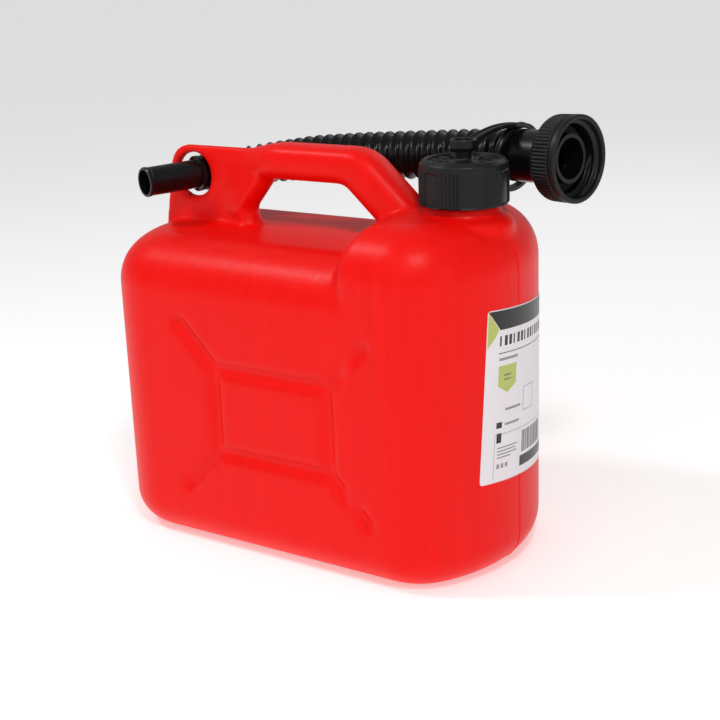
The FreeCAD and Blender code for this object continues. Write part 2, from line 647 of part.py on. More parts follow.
def ring_place():
    """Centre of the leaning ring, its axis, and the direction of its top."""
    point, direction = along(SPOUT_LENGTH - RING_FROM_MOUTH)
    level = direction.cross(vector(0, 0, 1)).normalize()
    up = level.cross(direction)
    lean = math.radians(RING_LEAN)
    axis = direction * math.cos(lean) - up * math.sin(lean)
    return point - up * RING_DROP, axis, up * math.cos(lean) + direction * math.sin(lean)


def tether_ring():
    point, axis, _ = ring_place()
    ring = tube(RING_RADIUS, RING_BORE, -RING_WIDTH / 2, RING_WIDTH / 2)
    return placed(ring, point, axis)


def tether_strap():
    """Flat band that arches from the eye's rim to the top of the ring."""
    point, _, up = ring_place()
    top = point + up * (RING_RADIUS - STRAP_THICKNESS / 2)
    eye = vector(NECK_X, 0, eye_bottom() + EYE_HEIGHT - STRAP_THICKNESS / 2 - 0.2)
    heading = vector(top.x - eye.x, top.y - eye.y, 0).normalize()
    start = eye + heading * (EYE_RADIUS - 0.1)
    end = top - heading * (RING_WIDTH / 2)
    crest = (start + end) * 0.5 + vector(0, 0, STRAP_LIFT)
    path = Part.Wire(Part.Arc(start, crest, end).toShape())
    side = vector(-heading.y, heading.x, 0) * (STRAP_WIDTH / 2)
    lift = vector(0, 0, STRAP_THICKNESS / 2)
    corners = [start + side + lift, start - side + lift, start - side - lift, start + side - lift]
    section = Part.makePolygon(corners + corners[:1])
    band = path.makePipeShell([section], True, False)
    eye_hole = Part.makeCylinder(EYE_RADIUS, 20, vector(NECK_X, 0, eye_bottom() - 5))
    return band.cut(eye_hole).cut(tether_ring())


os.makedirs("parts", exist_ok=True)
write("tank", tank())
write("label", label())
write("cap_inner", cap_inner())
write("cap_gasket", cap_gasket())
write("cap_shell", cap_shell())
write("spout_nozzle", spout_nozzle())
write("spout_bellows", spout_bellows())
write("spout_cuff", spout_cuff())
write("spout_gasket", spout_gasket())
write("spout_nut", spout_nut())
write("tether_eye", tether_eye())
write("tether_ring", tether_ring())
write("tether_strap", tether_strap())
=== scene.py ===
import math

import bmesh
import bpy
import numpy as np
from mathutils import Matrix, Vector


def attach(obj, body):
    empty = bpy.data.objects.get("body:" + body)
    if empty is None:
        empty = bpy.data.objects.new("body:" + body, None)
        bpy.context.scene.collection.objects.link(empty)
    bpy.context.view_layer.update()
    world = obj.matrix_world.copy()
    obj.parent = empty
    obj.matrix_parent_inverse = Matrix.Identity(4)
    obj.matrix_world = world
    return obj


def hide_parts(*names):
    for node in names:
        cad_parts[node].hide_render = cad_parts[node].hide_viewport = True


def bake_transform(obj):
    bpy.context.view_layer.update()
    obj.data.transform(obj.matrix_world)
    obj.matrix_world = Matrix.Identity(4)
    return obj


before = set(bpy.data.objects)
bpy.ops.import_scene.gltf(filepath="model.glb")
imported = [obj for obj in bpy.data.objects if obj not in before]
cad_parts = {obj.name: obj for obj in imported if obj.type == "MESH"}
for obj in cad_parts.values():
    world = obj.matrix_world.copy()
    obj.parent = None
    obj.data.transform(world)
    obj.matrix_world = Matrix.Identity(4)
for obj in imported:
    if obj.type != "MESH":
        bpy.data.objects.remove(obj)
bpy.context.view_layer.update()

MM = 0.001

# ---------------------------------------------------------------------------
# Studio: a pale floor that glows a little like a backlit sheet, two small bright
# lamps high in front, a soft box at the right and one behind, a broad window, and
# a camera at the height of a person at a bench.
# ---------------------------------------------------------------------------

CAMERA_PLACE = (0.4897, -0.6649, 0.3535)
CAMERA_YAW = math.radians(35.0)
CAMERA_DOWN = math.radians(16.7)
CAMERA_ROLL = math.radians(-2.2)
CAMERA_LENS = 70.3
FLOOR_PAINT = "#F4F4F4"
FLOOR_HALF = 14.0
FLOOR_GLOW = 0.35
WORLD_GLOW = 0.36
WINDOW_POWER = 0.32
WINDOW_SPREAD = math.radians(50)
WINDOW_HEADING = (-0.15, 0.85, -0.50)
LAMPS = (                       # name, place, width and height in metres, watts
    ("right_box", (0.55, -0.58, 1.00), 0.14, 0.16, 4.2),
    ("left_box", (-0.60, -0.44, 1.05), 0.14, 0.18, 3.7),
    ("side_box", (1.15, -0.30, 0.50), 0.3, 0.5, 0.8),
    ("back_box", (0.20, 1.20, 0.90), 1.0, 0.4, 1.2))
OBJECT_MIDDLE = Vector((0.0, 0.0, 0.12))


def linear(code, alpha=1.0):
    """An sRGB hex code as linear red, green, blue and alpha."""
    parts = [int(code[i:i + 2], 16) / 255 for i in (1, 3, 5)]
    bent = [c / 12.92 if c <= 0.04045 else ((c + 0.055) / 1.055) ** 2.4 for c in parts]
    return (*bent, alpha)


def new_material(name, colour, roughness, ior):
    """A named material, its node tree and its main shader."""
    material = bpy.data.materials.new(name)
    material.use_nodes = True
    tree = material.node_tree
    shader = tree.nodes["Principled BSDF"]
    shader.inputs["Base Color"].default_value = linear(colour)
    shader.inputs["Roughness"].default_value = roughness
    shader.inputs["IOR"].default_value = ior
    return material, tree, shader


def add_node(tree, kind, settings=(), **links):
    """Add a node, set its properties and values, and link sockets into its inputs."""
    made = tree.nodes.new("ShaderNode" + kind)
    for key, value in dict(settings).items():
        if isinstance(key, str) and hasattr(made, key):
            setattr(made, key, value)
        else:
            made.inputs[key].default_value = value
    for key, source in links.items():
        place = int(key[1:]) if key[0] == "_" else key.replace("_", " ")
        tree.links.new(source, made.inputs[place])
    return made


def camera_and_lights():
    """Camera turned by yaw, tilt and roll; area lights that all face the object."""
    forward = Vector((
        -math.sin(CAMERA_YAW) * math.cos(CAMERA_DOWN),
        math.cos(CAMERA_YAW) * math.cos(CAMERA_DOWN), -math.sin(CAMERA_DOWN)))
    level = Vector((math.cos(CAMERA_YAW), math.sin(CAMERA_YAW), 0))
    up = level.cross(forward)
    right = math.cos(CAMERA_ROLL) * level + math.sin(CAMERA_ROLL) * up
    top = math.cos(CAMERA_ROLL) * up - math.sin(CAMERA_ROLL) * level
    turn = Matrix((right, top, -forward)).transposed().to_4x4()
    data = bpy.data.cameras.new("camera")
    data.lens = CAMERA_LENS
    data.sensor_width = 36
    camera = bpy.data.objects.new("camera", data)
    camera.matrix_world = Matrix.Translation(CAMERA_PLACE) @ turn
    bpy.context.scene.collection.objects.link(camera)
    bpy.context.scene.camera = camera
    for name, place, width, height, power in LAMPS:
        lamp = bpy.data.lights.new(name, "AREA")
        lamp.shape = "RECTANGLE"
        lamp.size = width
        lamp.size_y = height
        lamp.energy = power
        box = bpy.data.objects.new(name, lamp)
        box.location = place
        aim = OBJECT_MIDDLE - Vector(place)
        box.rotation_euler = aim.to_track_quat("-Z", "Y").to_euler()
        bpy.context.scene.collection.objects.link(box)
    sun = bpy.data.lights.new("window", "SUN")
    sun.energy = WINDOW_POWER
    sun.angle = WINDOW_SPREAD
    window = bpy.data.objects.new("window", sun)
    window.rotation_euler = Vector(WINDOW_HEADING).to_track_quat("-Z", "Y").to_euler()
    bpy.context.scene.collection.objects.link(window)
    world = bpy.data.worlds.new("pale_studio")
    world.use_nodes = True
    world.node_tree.nodes["Background"].inputs["Color"].default_value = linear("#FFFFFF")
    world.node_tree.nodes["Background"].inputs["Strength"].default_value = WORLD_GLOW
    bpy.context.scene.world = world
    bpy.context.scene.view_settings.view_transform = "Standard"


def studio_floor():
    """Flat pale sheet under the object, lit a little from below so that it reads white."""
    corners = [(-FLOOR_HALF, -FLOOR_HALF, 0), (FLOOR_HALF, -FLOOR_HALF, 0),
               (FLOOR_HALF, FLOOR_HALF, 0), (-FLOOR_HALF, FLOOR_HALF, 0)]
    mesh = bpy.data.meshes.new("floor")
    mesh.from_pydata(corners, [], [(0, 1, 2, 3)])
    floor = bpy.data.objects.new("floor", mesh)
    bpy.context.scene.collection.objects.link(floor)
    paper, _, shader = new_material("studio_paper", FLOOR_PAINT, 0.9, 1.45)
    shader.inputs["Emission Color"].default_value = linear("#FFFFFF")
    shader.inputs["Emission Strength"].default_value = FLOOR_GLOW
    mesh.materials.append(paper)


camera_and_lights()
studio_floor()


# ---------------------------------------------------------------------------
# Tank: high-density polyethylene, dyed red through, blow moulded in one piece.
# The parison gives it soft shoulders, a fine upright drag grain and a parting
# line; the grooves stiffen its flat faces.  Skin only: nobody sees inside.
# ---------------------------------------------------------------------------

LENGTH = 265.0
DEPTH = 140.0
BLOCK_TOP = 187.0
TOWER_TOP = 206.0
CROWN = 95.0
CORNER = 40.0
SHOULDER = 30.0
BASE_EDGE = 22.0
TOWER_WALL = 40.0
TOWER_BOW = 17.0
TOWER_CORNER = 36.0
BASE_HOLLOW = 1.6
GROOVE_MIDDLE = (8.0, 90.0)
GROOVE_FRAME = (81.0, 52.0)
GROOVE_SPOKE = 25.0
GROOVE_NOSE = 6.0
GROOVE_DEEP = 3.0
SKIN_STEP = 1.6
HDPE_RED = "#E3170F"
HDPE_DEEP = "#EA0A05"
HDPE_PALE = "#F00E07"


def steps(first, last, count):
    return np.linspace(first, last, count)


def smooth_step(low, high, value):
    """0 below low, 1 above high, and an even S between them."""
    share = np.clip((value - low) / (high - low), 0, 1)
    return share * share * (3 - 2 * share)


def skin(name, grid, wrap_u=True, wrap_v=True):
    """Mesh of a grid of points: rows joined to rows, closed either way if asked.

    Doubled points at poles are welded, and faces are turned outwards by the
    sign of the enclosed volume."""
    rows, columns = grid.shape[:2]
    index = np.arange(rows * columns).reshape(rows, columns)
    right = np.roll(index, -1, 1) if wrap_v else index[:, 1:]
    near = index if wrap_v else index[:, :-1]
    last = rows if wrap_u else rows - 1
    after = np.arange(1, last + 1) % rows
    quads = np.stack([near[:last], right[:last], right[after], near[after]], -1).reshape(-1, 4)
    points = grid.reshape(-1, 3)
    a, b, c, d = (points[quads[:, k]] for k in range(4))
    volume = (np.cross(b, c) * a).sum() + (np.cross(c, d) * a).sum()
    if volume < 0:
        quads = quads[:, ::-1]
    mesh = bpy.data.meshes.new(name)
    mesh.from_pydata((points * MM).tolist(), [], quads.tolist())
    work = bmesh.new()
    work.from_mesh(mesh)
    bmesh.ops.remove_doubles(work, verts=work.verts, dist=1e-7)
    bmesh.ops.dissolve_degenerate(work, edges=work.edges, dist=1e-8)
    work.to_mesh(mesh)
    work.free()
    mesh.polygons.foreach_set("use_smooth", np.ones(len(mesh.polygons), bool))
    made = bpy.data.objects.new(name, mesh)
    bpy.context.scene.collection.objects.link(made)
    return made


def merged(name, pieces):
    """One object from several skins that touch or overlap."""
    work = bmesh.new()
    for piece in pieces:
        work.from_mesh(piece.data)
        bpy.data.objects.remove(piece)
    mesh = bpy.data.meshes.new(name)
    work.to_mesh(mesh)
    work.free()
    made = bpy.data.objects.new(name, mesh)
    bpy.context.scene.collection.objects.link(made)
    return made


def rounded_path(corners, radii, spacing, closed=False):
    """Points and unit tangents at even spacing along straight runs joined by tangent arcs.

    At each corner the arc starts radius times the tangent of half the turn
    before it, and bends towards the next run."""
    corners = np.array(corners, float)
    count = len(corners)
    dense = [] if closed else [corners[:1]]
    for i in range(count) if closed else range(1, count - 1):
        before = corners[i] - corners[i - 1]
        after = corners[(i + 1) % count] - corners[i]
        before /= np.linalg.norm(before)
        after /= np.linalg.norm(after)
        turn = math.acos(np.clip(before @ after, -1, 1))
        entry = corners[i] - before * radii[i] * math.tan(turn / 2)
        inward = after - before * (before @ after)
        inward /= np.linalg.norm(inward)
        angle = steps(0, turn, 49)[:, None]
        dense.append(entry + radii[i] * (np.sin(angle) * before + (1 - np.cos(angle)) * inward))
    dense.append(dense[0][:1] if closed else corners[-1:])
    line = np.concatenate(dense)
    line = line[np.r_[True, np.linalg.norm(np.diff(line, axis=0), axis=1) > 1e-9]]
    run = np.r_[0, np.cumsum(np.linalg.norm(np.diff(line, axis=0), axis=1))]
    number = max(2, round(run[-1] / spacing)) + (0 if closed else 1)
    at = steps(0, run[-1], number + 1)[:-1] if closed else steps(0, run[-1], number)
    points = np.stack([np.interp(at, run, line[:, k]) for k in range(line.shape[1])], -1)
    ahead = np.stack([np.interp((at + 0.2) % run[-1] if closed else np.minimum(at + 0.2, run[-1]),
                                run, line[:, k]) for k in range(line.shape[1])], -1)
    behind = np.stack([np.interp((at - 0.2) % run[-1] if closed else np.maximum(at - 0.2, 0),
                                 run, line[:, k]) for k in range(line.shape[1])], -1)
    tangents = ahead - behind
    tangents /= np.linalg.norm(tangents, axis=1)[:, None]
    return points, tangents


def end_arc_points(side):
    """Plan points of one end, front to back: corner arc, crown arc, corner arc."""
    crown_x = LENGTH / 2 - CROWN
    corner_y = DEPTH / 2 - CORNER
    corner_x = crown_x + math.sqrt((CROWN - CORNER) ** 2 - corner_y ** 2)
    swing = math.atan2(corner_y, corner_x - crown_x)
    low = steps(-math.pi / 2, -swing, 60)
    middle = steps(-swing, swing, 120)[1:-1]
    front = np.stack([corner_x + CORNER * np.cos(low), -corner_y + CORNER * np.sin(low)], -1)
    crown = np.stack([crown_x + CROWN * np.cos(middle), CROWN * np.sin(middle)], -1)
    back = front[::-1] * (1, -1)
    return np.concatenate([front, crown, back]) * (side, 1)


def evened(outline, spacing):
    """A closed plan outline at even spacing, with outward normals."""
    line = np.concatenate([outline, outline[:1]])
    run = np.r_[0, np.cumsum(np.linalg.norm(np.diff(line, axis=0), axis=1))]
    at = steps(0, run[-1], round(run[-1] / spacing) + 1)[:-1]
    points = np.stack([np.interp(at, run, line[:, k]) for k in (0, 1)], -1)
    tangent = np.roll(points, -1, 0) - np.roll(points, 1, 0)
    tangent /= np.linalg.norm(tangent, axis=1)[:, None]
    return points, np.stack([tangent[:, 1], -tangent[:, 0]], -1)


def side_profile(top, base_radius, top_radius):
    """Inset and height down one wall, from the middle of the base to the middle of the top.

    A quarter circle rounds the base edge and another the shoulder.  The third
    column is how far the point has gone from the offset outline to the spine."""
    low = steps(0, math.pi / 2, 26)
    base = np.stack([base_radius * (1 - np.sin(low)), base_radius * (1 - np.cos(low)), low * 0], -1)
    wall_z = steps(base_radius, top - top_radius, round((top - top_radius - base_radius) / SKIN_STEP))[1:-1]
    wall = np.stack([wall_z * 0, wall_z, wall_z * 0], -1)
    high = steps(0, math.pi / 2, 34)
    shoulder_inset = top_radius * (1 - np.cos(high))
    shoulder = np.stack([shoulder_inset, top - top_radius * (1 - np.sin(high)), high * 0], -1)
    into = steps(0, 1, 24)[1:]
    lid = np.stack([into * 0 + top_radius, into * 0 + top, into], -1)
    floor = np.stack([into * 0 + base_radius, BASE_HOLLOW * np.minimum(1, into * 3), into], -1)[::-1]
    return np.concatenate([floor, base, wall, shoulder, lid])


def groove_depth(x, z):
    """How deep the round-nosed stiffening groove is at a place on a flat face.

    The groove is a circle's cap below the face, at the distance to the nearest
    of four frame bars and four diagonal spokes."""
    half = np.array(GROOVE_FRAME) / 2
    middle = np.array(GROOVE_MIDDLE)
    corners = [middle + half * s for s in ((-1, -1), (1, -1), (1, 1), (-1, 1))]
    bars = [(corners[i], corners[(i + 1) % 4]) for i in range(4)]
    bars += [(c, c + GROOVE_SPOKE * np.sign(c - middle)) for c in corners]
    nearest = np.full(x.shape, 1e3)
    for start, end in bars:
        along = end - start
        share = ((x - start[0]) * along[0] + (z - start[1]) * along[1]) / (along @ along)
        share = np.clip(share, 0, 1)
        away = np.hypot(x - start[0] - share * along[0], z - start[1] - share * along[1])
        nearest = np.minimum(nearest, away)
    cap = np.sqrt(np.maximum(GROOVE_NOSE ** 2 - nearest ** 2, 0)) - (GROOVE_NOSE - GROOVE_DEEP)
    return np.maximum(cap, 0)


def walled_solid(name, outline, profile):
    """Outline carried down the profile: point = outline - normal * inset, then towards the spine."""
    points, normals = evened(outline, SKIN_STEP)
    inset, height, into = (profile[:, k][:, None, None] for k in range(3))
    ring = points[None] - normals[None] * inset
    reach = np.abs(points[:, 0]).max() * 0.45
    middle = points[:, 0].mean()
    spine = np.stack([np.clip(ring[..., 0], middle - reach, middle + reach), ring[..., 1] * 0], -1)
    plan = ring * (1 - into) + spine * into
    flat = np.abs(normals[:, 1])[None] > 0.999
    groove = groove_depth(plan[..., 0], height[..., 0] + plan[..., 0] * 0)
    sink = np.where(flat & (inset[..., 0] < 0.01), groove, 0)
    plan[..., 1] -= np.sign(plan[..., 1]) * sink
    return skin(name, np.concatenate([plan, height + plan[..., :1] * 0], -1), wrap_u=False)


def tower_outline():
    """The neck end's plan: both ends' arcs on the right, a bowed wall on the left."""
    bow = (DEPTH ** 2 / 4 + TOWER_BOW ** 2) / (2 * TOWER_BOW)
    swing = math.asin(DEPTH / 2 / bow)
    angle = steps(math.pi - swing, math.pi + swing, 80)
    wall = np.stack([TOWER_WALL + bow + bow * np.cos(angle), bow * np.sin(angle)], -1)
    right = end_arc_points(1)
    return soften(np.concatenate([right, wall]), TOWER_CORNER)


def soften(chain, radius):
    """Round the two corners of the plan where wall and flat faces meet, by a moving average."""
    line = np.concatenate([chain, chain[:1]])
    run = np.r_[0, np.cumsum(np.linalg.norm(np.diff(line, axis=0), axis=1))]
    at = np.arange(0, run[-1], 0.5)
    even = np.stack([np.interp(at, run, line[:, k]) for k in (0, 1)], -1)
    width = int(radius * 0.9 / 0.5)
    weights = np.hanning(width + 2)[1:-1]
    weights /= weights.sum()
    around = np.concatenate([even[-width:], even, even[:width]])
    smooth = np.stack([np.convolve(around[:, k], weights, "same") for k in (0, 1)], -1)[width:-width]
    blend = np.clip((LENGTH / 2 - CORNER - 15 - even[:, 0]) / 10, 0, 1)[:, None]
    return even * (1 - blend) + smooth * blend


HANDLE_TOP = 238.6
GRIP_WIDE = 25.0
GRIP_SQUARE = 2.9
GRIP_UNDER = 217.0
GRIP_START = -66.0
GRIP_WIDENS = (-64.0, -24.0)
ROOT_NOSE = 8.6
ROOT_TAIL = -84.0
WEB_THICK = 6.0
WEB_ROUND = 1.8
WEB_LEFT_TOP = -112.0
WEB_LEFT_FOOT = -121.5
WEB_TOP = 233.8
WEB_CORNER = 15.0
GAP_FOOT = -51.0
LOOP = (-95.8, 215.6)
LOOP_RADIUS = 13.6
NECK_X = 98.5
MOUTH_CUT = 17.5


def rounded_section(count, squareness):
    """Unit super-ellipse, |x|^n + |y|^n = 1, at even angles."""
    angle = steps(0, 2 * math.pi, count + 1)[:-1]
    c, s = np.cos(angle), np.sin(angle)
    power = 2 / squareness
    return np.sign(c) * np.abs(c) ** power, np.sign(s) * np.abs(s) ** power


def handle_tube():
    """Grip and leg: a rounded section held between an upper and a lower edge line.

    Point = middle of the two edges + across * half their distance + width * sideways."""
    upper, _ = rounded_path(
        [(GRIP_START, 230.5), (-30, HANDLE_TOP), (37, HANDLE_TOP), (84, 196)], [0, 60, 30, 0], 1.6)
    lower, _ = rounded_path(
        [(GRIP_START, 213), (-33, GRIP_UNDER), (22, GRIP_UNDER), (62, 181)], [0, 20, 12, 0], 1.6)
    share = steps(0, 1, 110)[:, None]
    upper = resampled(upper, share)
    lower = resampled(lower, share)
    middle = (upper + lower) / 2
    half = (upper - lower) / 2
    thin = WEB_THICK / 2
    width = thin + (GRIP_WIDE / 2 - thin) * smooth_step(*GRIP_WIDENS, middle[:, 0])
    c, s = rounded_section(56, GRIP_SQUARE)
    x = middle[:, :1] + half[:, :1] * c
    z = middle[:, 1:] + half[:, 1:] * c
    y = width[:, None] * s
    return capped(np.stack([x, y, z], -1))


def resampled(line, share):
    """A line's points at even shares of its length."""
    run = np.r_[0, np.cumsum(np.linalg.norm(np.diff(line, axis=0), axis=1))]
    return np.concatenate([np.interp(share * run[-1], run, line[:, k]) for k in (0, 1)], 1)


def capped(grid):
    """A stack of rings with each end ring drawn in to its own middle."""
    ends = [np.repeat(grid[k].mean(0)[None], grid.shape[1], 0)[None] for k in (0, -1)]
    return np.concatenate([ends[0], grid, ends[1]])


def grip_root():
    """Where the hollow grip is pinched down to the web: a teardrop in plan, blunt at the finger gap."""
    edge, _ = rounded_path([(-44, 182), (GAP_FOOT + 2.5, 193), (GAP_FOOT + 1, 197), (-31.5, 219), (-30, 226)],
                           [0, 5, 5, 4, 0], 1.5)
    turn = steps(0, 2 * math.pi, 65)[:-1]
    back = np.clip(-np.cos(turn), 0, 1)
    middle = edge[:, :1] - ROOT_NOSE
    x = np.where(np.cos(turn) > 0, middle + ROOT_NOSE * np.cos(turn),
                 middle + (ROOT_TAIL - middle) * back ** 1.6)
    side = np.sign(np.sin(turn)) * np.where(np.cos(turn) > 0, np.abs(np.sin(turn)), 1 - back ** 1.3)
    y = (ROOT_NOSE + 0 * x) * side
    return capped(np.stack([x, y, edge[:, 1:] + 0 * x], -1))


def web_plate():
    """Pinched flat web with its loop hole: a flat bar with rounded edges, carried once round the hole.

    Along the bar, distance from the hole = base + length * share, where length
    is how far the outline is from the hole there."""
    corners = [(-58, 172), (-50, WEB_TOP), (WEB_LEFT_TOP, WEB_TOP), (WEB_LEFT_FOOT, 184),
               (WEB_LEFT_FOOT + 2, 172)]
    outline, _ = rounded_path(corners, [1, 2, WEB_CORNER, 3, 1], 0.8, closed=True)
    angle = np.arctan2(outline[:, 1] - LOOP[1], outline[:, 0] - LOOP[0])
    hole = np.stack([LOOP[0] + LOOP_RADIUS * np.cos(angle), LOOP[1] + LOOP_RADIUS * np.sin(angle)], -1)
    out = outline - hole
    length = np.linalg.norm(out, axis=1)[:, None]
    quarter = steps(0, math.pi / 2, 6)
    across = steps(0, 1, 26)[1:-1]
    rounding = WEB_ROUND * (1 - np.cos(quarter))
    side = WEB_THICK / 2 - WEB_ROUND * (1 - np.sin(quarter))
    base = np.concatenate([rounding, WEB_ROUND * (1 - 2 * across), -rounding[::-1]])
    share = np.concatenate([quarter * 0, across, quarter * 0 + 1])
    y = np.concatenate([side, across * 0 + WEB_THICK / 2, side[::-1]])
    distance = base + length * share
    plan = hole[:, None] + (out / length)[:, None] * distance[..., None]
    front = np.stack([plan[..., 0], y + 0 * distance, plan[..., 1]], -1)
    return np.concatenate([front, front[:, ::-1] * (1, -1, 1)], 1)


def web_foot():
    """Hollow fillet where the web stands on the tank: a stadium in plan that narrows upwards."""
    radius = 9.0
    rise = steps(0, 1, 16)
    spread = WEB_THICK / 2 - 0.5 + radius * (1 - np.sqrt(1 - (1 - rise) ** 2))
    height = BLOCK_TOP - 1.5 + radius * rise
    turn = steps(0, 2 * math.pi, 97)[:-1]
    x = np.where(np.cos(turn) > 0, -60.0, -97.0) + spread[:, None] * np.cos(turn)
    y = spread[:, None] * np.sin(turn)
    low = np.stack([x[0], y[0], x[0] * 0 + BLOCK_TOP - 8], -1)[None]
    return capped(np.concatenate([low, np.stack([x, y, height[:, None] + 0 * x], -1)]))


def neck_root():
    """Flared foot of the neck, turned about the neck's axis."""
    profile, _ = rounded_path([(29, 190), (27.5, 202.5), (20.3, 206.2), (20.3, 211.4), (14, 211.4)],
                              [0, 5, 4, 1.2, 0], 0.8)
    turn = steps(0, 2 * math.pi, 121)[:-1]
    x = NECK_X + profile[:, :1] * np.cos(turn)
    y = profile[:, :1] * np.sin(turn)
    return capped(np.stack([x, y, profile[:, 1:] + 0 * x], -1))


def hdpe():
    """Blow-moulded HDPE, dyed red: satin, with fine upright drag lines and faint orange peel."""
    material, tree, shader = new_material("blow_moulded_hdpe_red", HDPE_RED, 0.33, 1.53)
    place = add_node(tree, "TexCoord").outputs["Object"]
    fine = add_node(tree, "Mapping", {"Scale": (900, 900, 9)}, Vector=place).outputs[0]
    hairs = {"Scale": 1.0, "Detail": 3.0, "Roughness": 0.6}
    grain = add_node(tree, "TexNoise", hairs, Vector=fine).outputs[0]
    wide = add_node(tree, "Mapping", {"Scale": (160, 160, 5)}, Vector=place).outputs[0]
    drag = add_node(tree, "TexNoise", {"Scale": 1.0, "Detail": 2.0}, Vector=wide).outputs[0]
    peel = add_node(tree, "TexNoise", {"Scale": 420.0, "Detail": 2.0}, Vector=place).outputs[0]
    lines = add_node(tree, "Math", {"operation": "MULTIPLY_ADD", 1: 0.55}, _0=grain, _2=drag).outputs[0]
    bump = add_node(tree, "Bump", {"Strength": 0.4, "Distance": 0.0004}, Height=lines).outputs[0]
    bump = add_node(tree, "Bump", {"Strength": 0.12, "Distance": 0.0002}, Height=peel, Normal=bump).outputs[0]
    tree.links.new(bump, shader.inputs["Normal"])
    gloss = add_node(tree, "MapRange", {1: 0.35, 2: 0.7, 3: 0.26, 4: 0.38}, Value=lines).outputs[0]
    tree.links.new(gloss, shader.inputs["Roughness"])
    tint = add_node(tree, "MapRange", {1: 0.3, 2: 0.8}, Value=drag).outputs[0]
    mix = add_node(tree, "Mix", {"data_type": "RGBA"}, _0=tint)
    mix.inputs[6].default_value = linear(HDPE_DEEP)
    mix.inputs[7].default_value = linear(HDPE_PALE)
    tree.links.new(mix.outputs[2], shader.inputs["Base Color"])
    shader.inputs["Specular IOR Level"].default_value = 0.15
    return material


def fused_tank():
    """All the tank's skins made one by a voxel remesh, then relaxed so that their joints blend."""
    ends = [end_arc_points(1), end_arc_points(-1)[::-1]]
    skins = [
        walled_solid("low_block", np.concatenate(ends), side_profile(BLOCK_TOP, BASE_EDGE, SHOULDER)),
        walled_solid("tower", tower_outline(), side_profile(TOWER_TOP, BASE_EDGE, SHOULDER)),
        skin("grip", handle_tube(), wrap_u=False), skin("root", grip_root(), wrap_u=False),
        skin("web", web_plate()), skin("foot", web_foot(), wrap_u=False),
        skin("neck_root", neck_root(), wrap_u=False)]
    made = merged("tank_skin", skins)
    remesh = made.modifiers.new("one_skin", "REMESH")
    remesh.mode = "VOXEL"
    remesh.voxel_size = SKIN_STEP * MM
    remesh.use_smooth_shade = True
    relax = made.modifiers.new("blow_moulded_blend", "SMOOTH")
    relax.factor = 0.5
    relax.iterations = 5
    bpy.context.view_layer.update()
    smooth = bpy.data.meshes.new_from_object(made.evaluated_get(bpy.context.evaluated_depsgraph_get()))
    bpy.data.objects.remove(made)
    work = bmesh.new()
    work.from_mesh(smooth)
    mouth = [v for v in work.verts if v.co.z > (TOWER_TOP + 1) * MM
             and math.hypot(v.co.x - NECK_X * MM, v.co.y) < MOUTH_CUT * MM]
    bmesh.ops.delete(work, geom=mouth, context="VERTS")
    work.to_mesh(smooth)
    work.free()
    made = bpy.data.objects.new("tank_skin", smooth)
    bpy.context.scene.collection.objects.link(made)
    smooth.materials.clear()
    smooth.materials.append(hdpe())
    return made


tank_skin = fused_tank()
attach(tank_skin, "can")
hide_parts("tank")


# ---------------------------------------------------------------------------
# Parting line: the thin ridge where the two mould halves met, all round the
# tank at mid depth.  Part of the same red HDPE skin.
# ---------------------------------------------------------------------------

SEAM_WIDE = 0.9
SEAM_PROUD = 0.28


def parting_line():
    """A low half-round bead carried along the tank's outline at mid depth, drawn onto the skin.

    Point = outline + across * width + outwards * height of the half circle."""
    half = LENGTH / 2
    corners = [(-60, BLOCK_TOP), (-half, BLOCK_TOP), (-half, 0), (half, 0), (half, TOWER_TOP),
               (118, TOWER_TOP)]
    line, tangent = rounded_path(corners, [0, SHOULDER, BASE_EDGE, BASE_EDGE, SHOULDER, 0], 1.0)
    outward = np.stack([-tangent[:, 1], tangent[:, 0]], -1)
    outward *= -1 if (outward[len(line) // 2] @ (0, -1)) < 0 else 1
    angle = steps(0, 2 * math.pi, 11)[:-1]
    rise = (np.cos(angle) * SEAM_PROUD)[None, :, None]
    x_z = line[:, None] + outward[:, None] * rise
    y = np.broadcast_to(np.sin(angle) * SEAM_WIDE / 2, x_z.shape[:2])
    return capped(np.stack([x_z[..., 0], y, np.maximum(x_z[..., 1], 0)], -1))


seam = skin("parting_line", parting_line(), wrap_u=False)
seam.data.materials.append(tank_skin.data.materials[0])
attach(seam, "can")


# ---------------------------------------------------------------------------
# Label: white self-adhesive film wrapped round the crown of the neck end and
# stuck on a little askew, printed in black, green and grey.  The print is
# plain bars and blocks that carry no words.
# ---------------------------------------------------------------------------

LABEL_WIDE = 74.0
LABEL_TALL = 99.0
LABEL_MIDDLE = (5.0, 106.8)
LABEL_ASKEW = math.radians(4.4)
LABEL_CORNER = 2.0
FILM = 0.30
INK = 0.05
INK_SUNK = 0.08
INK_STEP = 2.0
INKS = {"black": "#15110F", "green": "#B4BE62", "grey": "#8D8A8C"}


def on_crown(across, up, height):
    """A place on the label as a point: turned by the askew angle, then wrapped round the crown."""
    around = LABEL_MIDDLE[0] + across * math.cos(LABEL_ASKEW) + up * math.sin(LABEL_ASKEW)
    z = LABEL_MIDDLE[1] - across * math.sin(LABEL_ASKEW) + up * math.cos(LABEL_ASKEW)
    radius = CROWN + height
    angle = around / CROWN
    return np.stack([LENGTH / 2 - CROWN + radius * np.cos(angle), radius * np.sin(angle), z + 0 * angle], -1)


def film_sheet():
    """Closed thin sheet: a rounded rectangle drawn in to its middle, front and back."""
    half = np.array([LABEL_WIDE, LABEL_TALL]) / 2
    corners = [half * s for s in ((-1, -1), (1, -1), (1, 1), (-1, 1))]
    outline, _ = rounded_path(corners, [LABEL_CORNER] * 4, 0.8, closed=True)
    inwards = steps(0, 1, 40)
    share = np.concatenate([inwards, inwards[::-1]])
    height = np.concatenate([inwards * 0 + 0.02, inwards * 0 + FILM])
    place = outline[None] * share[:, None, None]
    return on_crown(place[..., 0], place[..., 1], height[:, None])


